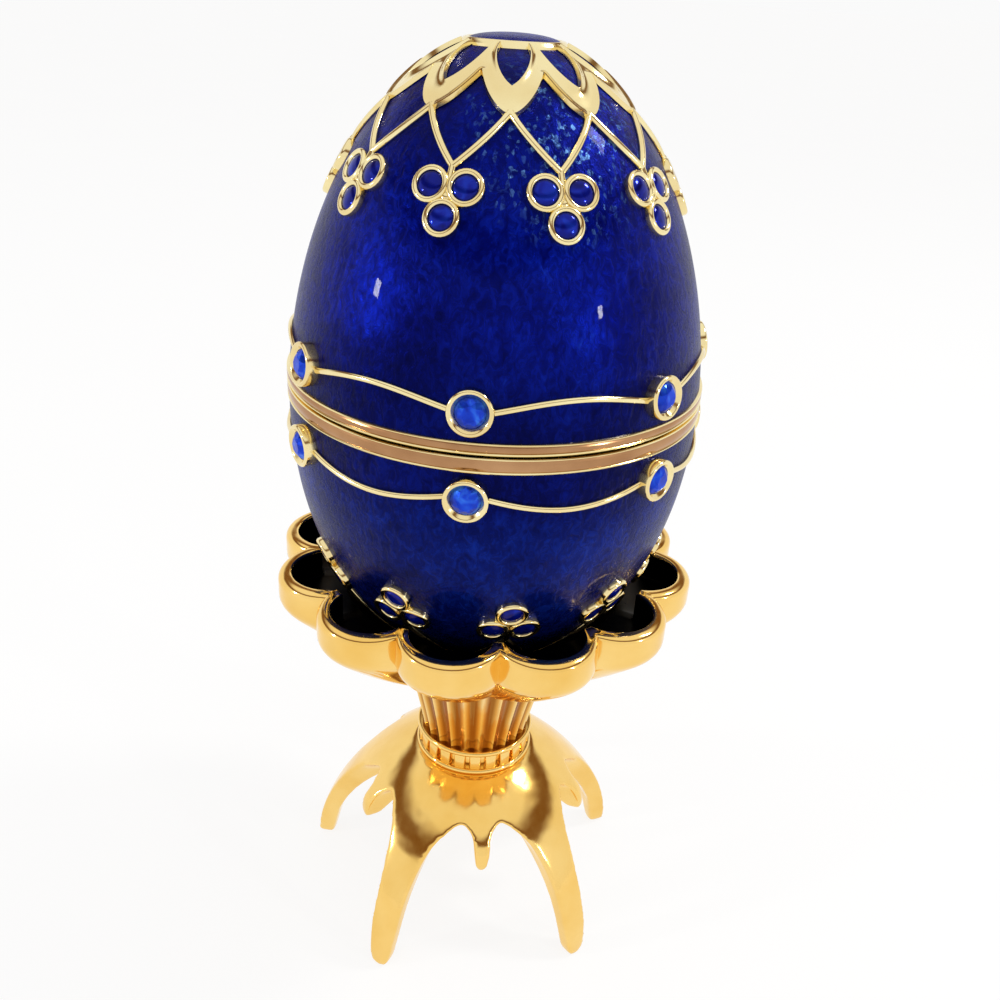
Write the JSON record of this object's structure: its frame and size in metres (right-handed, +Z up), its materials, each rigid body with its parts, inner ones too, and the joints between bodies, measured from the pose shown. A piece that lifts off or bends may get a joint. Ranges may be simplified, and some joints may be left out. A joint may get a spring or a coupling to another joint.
{
  "type": "egg trinket box",
  "caption": "Hinged enamelled egg box with raised gilt wires and set stones, standing loose in a scalloped cup on a fluted stem and a domed foot with legs.",
  "frame": {"origin": "on the table under the middle of the stand", "axes": "+Z up, the egg's front towards -Y, the lid's hinge at the back towards +Y with its axis along X"},
  "size_m": [0.059, 0.059, 0.1284],
  "materials": {
    "gilt_metal": "polished gold plating",
    "blue_enamel": "glossy translucent enamel over a textured ground",
    "blue_stone": "faceted glass",
    "steel": "plain"
  },
  "bodies": {
    "stand": {"foot": "gilt_metal", "beaded_ring": "gilt_metal", "fluted_stem": "gilt_metal", "scalloped_cup": "gilt_metal", "tie_screw": "steel", "screw_washer": "steel"},
    "egg_base": {"base_shell": "gilt_metal", "base_enamel": "blue_enamel", "base_band": "gilt_metal", "base_festoon": "gilt_metal", "base_magnet": "steel", "base_hinge_leaf": "gilt_metal", "hinge_pin": "steel", "base_stone_1": "blue_stone", "base_stone_2": "blue_stone", "base_stone_3": "blue_stone", "base_stone_4": "blue_stone", "base_stone_5": "blue_stone", "base_stone_6": "blue_stone", "base_stone_7": "blue_stone", "base_trefoil_1": "blue_stone", "base_trefoil_2": "blue_stone", "base_trefoil_3": "blue_stone", "base_trefoil_4": "blue_stone", "base_trefoil_5": "blue_stone", "base_trefoil_6": "blue_stone", "base_trefoil_7": "blue_stone", "base_trefoil_8": "blue_stone", "base_trefoil_9": "blue_stone", "base_trefoil_10": "blue_stone"},
    "egg_lid": {"lid_shell": "gilt_metal", "lid_enamel": "blue_enamel", "lid_band": "gilt_metal", "lid_festoon": "gilt_metal", "lid_lattice": "gilt_metal", "top_cabochon": "blue_enamel", "lid_magnet": "steel", "lid_hinge_leaf": "gilt_metal", "lid_stone_1": "blue_stone", "lid_stone_2": "blue_stone", "lid_stone_3": "blue_stone", "lid_stone_4": "blue_stone", "lid_stone_5": "blue_stone", "lid_stone_6": "blue_stone", "lid_stone_7": "blue_stone", "lid_trefoil_1": "blue_stone", "lid_trefoil_2": "blue_stone", "lid_trefoil_3": "blue_stone", "lid_trefoil_4": "blue_stone", "lid_trefoil_5": "blue_stone", "lid_trefoil_6": "blue_stone", "lid_trefoil_7": "blue_stone", "lid_trefoil_8": "blue_stone", "lid_trefoil_9": "blue_stone", "lid_trefoil_10": "blue_stone"}
  },
  "joints": [
    {"name": "egg_lift", "type": "slide", "parent": "stand", "child": "egg_base", "axis": [0, 0, 1], "range_m": [0, 0.06]},
    {"name": "lid_hinge", "type": "hinge", "parent": "egg_base", "child": "egg_lid", "pos_m": [0, 0.0283, 0.087], "axis": [-1, 0, 0], "range_deg": [0, 100]}
  ]
}
